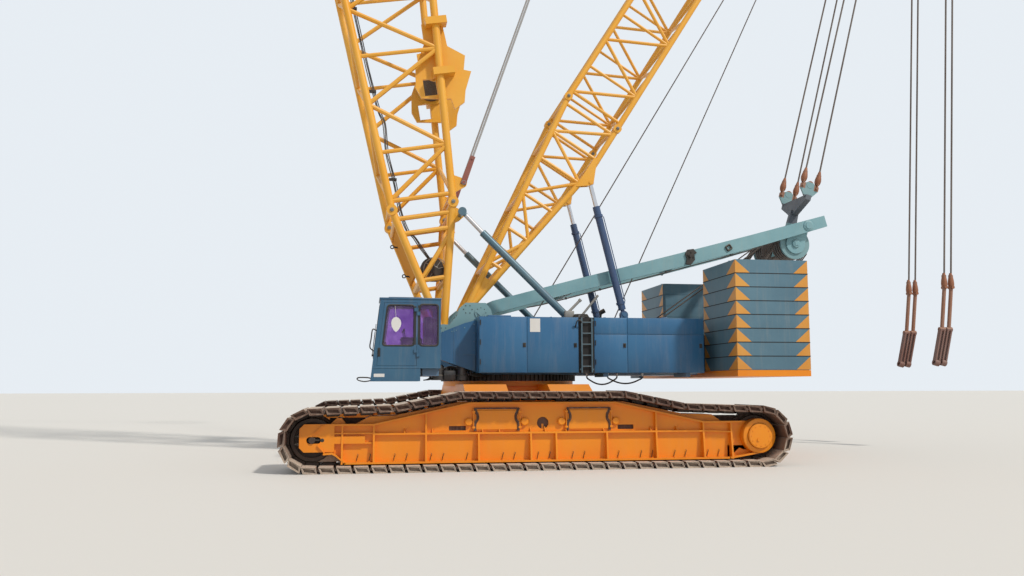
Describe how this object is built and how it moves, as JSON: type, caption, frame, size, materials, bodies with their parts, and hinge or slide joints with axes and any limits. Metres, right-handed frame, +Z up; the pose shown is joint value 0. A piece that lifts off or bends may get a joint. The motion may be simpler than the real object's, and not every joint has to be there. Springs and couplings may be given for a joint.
{
  "type": "crawler crane",
  "caption": "Tracked lattice-boom crane with derrick mast, A-frame, stacked counterweights, machinery houses, hollow cab and hook block.",
  "frame": {"origin": "on the slewing axis, at the ground the tracks stand on", "axes": "+X to the rear, over the counterweight; -X to the front, over the cab and boom; -Y is the crane's left side; +Z up"},
  "size_m": [22.7979, 9.9, 38.7377],
  "materials": {
    "track_orange": "weathered gloss paint",
    "track_steel": "dusty worn steel",
    "dark_steel": "oily dark steel",
    "house_blue": "satin paint",
    "cab_blue": "satin paint",
    "tinted_glass": "violet tinted",
    "interior": "matte",
    "weight_blue": "weathered paint",
    "boom_yellow": "weathered gloss paint",
    "a_frame_blue": "faded paint",
    "strut_blue": "gloss paint",
    "rope_steel": "greased rope",
    "bright_rod": "polished",
    "rust_link": "rusty"
  },
  "bodies": {
    "undercarriage": {"carbody": "track_orange", "slew_ring": "dark_steel", "track_frame_left": "track_orange", "track_frame_right": "track_orange", "track_left": "track_steel", "track_right": "track_steel", "idlers": "track_steel", "sprockets": "track_steel", "rollers": "track_steel"},
    "upperworks": {"upper_frame": "house_blue", "front_covers": "house_blue", "house_left": "house_blue", "house_right": "house_blue", "engine_block": "dark_steel", "winch_drums": "dark_steel", "ladder": "a_frame_blue", "deck_sheaves": "a_frame_blue", "counterweight_base": "track_orange", "counterweight_left": "weight_blue", "counterweight_right": "weight_blue", "cab_shell": "cab_blue", "cab_glass": "tinted_glass", "cab_interior": "interior"},
    "door": {"cab_door": "cab_blue", "cab_door_glass": "tinted_glass"},
    "boom": {"boom_foot": "boom_yellow", "boom_taper": "boom_yellow", "boom_inserts": "boom_yellow", "boom_head": "boom_yellow", "boom_winch": "boom_yellow", "hose_reel": "bright_rod", "boom_backstops": "strut_blue", "boom_stays": "rope_steel"},
    "hook_tackle": {"hook_block": "boom_yellow"},
    "hook_swivel": {"hook": "dark_steel"},
    "mast": {"mast_foot": "boom_yellow", "mast_insert": "boom_yellow", "mast_head": "boom_yellow", "mast_stays": "rust_link"},
    "pendants": {"hanging_pendants": "rust_link"},
    "a_frame_arm": {"a_frame": "a_frame_blue", "a_frame_sheaves": "a_frame_blue"},
    "stop_barrels": {"mast_stop_barrels": "strut_blue"},
    "stop_rods": {"mast_stop_rods": "bright_rod"}
  },
  "joints": [
    {"name": "slew", "type": "hinge", "parent": "undercarriage", "child": "upperworks", "pos_m": [0, 0, 1.93], "axis": [0, 0, 1], "continuous": true},
    {"name": "cab_door_swing", "type": "hinge", "parent": "upperworks", "child": "door", "pos_m": [-2.472, -3.02, 2.8], "axis": [0, 0, 1], "range_deg": [0, 90]},
    {"name": "boom_luff", "type": "hinge", "parent": "upperworks", "child": "boom", "pos_m": [-1.77, 0, 2.94], "axis": [0, -1, 0], "range_deg": [0, 66]},
    {"name": "hook_hang", "type": "hinge", "parent": "boom", "child": "hook_tackle", "pos_m": [-8.59937, 0, 38.29774], "axis": [0, -1, 0], "range_deg": [-66, 0]},
    {"name": "hook_turn", "type": "hinge", "parent": "hook_tackle", "child": "hook_swivel", "pos_m": [-8.75367, 0, 32.99774], "axis": [0, 0, 1], "continuous": true},
    {"name": "mast_luff", "type": "hinge", "parent": "upperworks", "child": "mast", "pos_m": [-1.19, 0, 3.48], "axis": [0, -1, 0], "range_deg": [-6, 4]},
    {"name": "pendant_hang", "type": "hinge", "parent": "mast", "child": "pendants", "pos_m": [13.30423, 0, 26.49645], "axis": [0, -1, 0], "range_deg": [-4, 6]},
    {"name": "a_frame_luff", "type": "hinge", "parent": "upperworks", "child": "a_frame_arm", "pos_m": [-0.88, 0, 3.4], "axis": [0, -1, 0], "range_deg": [-6.19, 4.13]},
    {"name": "stop_swing", "type": "hinge", "parent": "upperworks", "child": "stop_barrels", "pos_m": [2.7, 0, 3.4], "axis": [0, -1, 0], "range_deg": [-4.29, 2.86]},
    {"name": "stop_slide", "type": "slide", "parent": "stop_barrels", "child": "stop_rods", "axis": [-0.2411, 0, 0.9705], "range_m": [-0.3951, 0.2634]}
  ],
  "couplings": [
    {"joint": "hook_hang", "follows": "boom_luff", "ratio": -1},
    {"joint": "pendant_hang", "follows": "mast_luff", "ratio": -1},
    {"joint": "a_frame_luff", "follows": "mast_luff", "ratio": 1.032},
    {"joint": "stop_swing", "follows": "mast_luff", "ratio": 0.7142},
    {"joint": "stop_slide", "follows": "mast_luff", "m_per_rad": 3.7719}
  ]
}
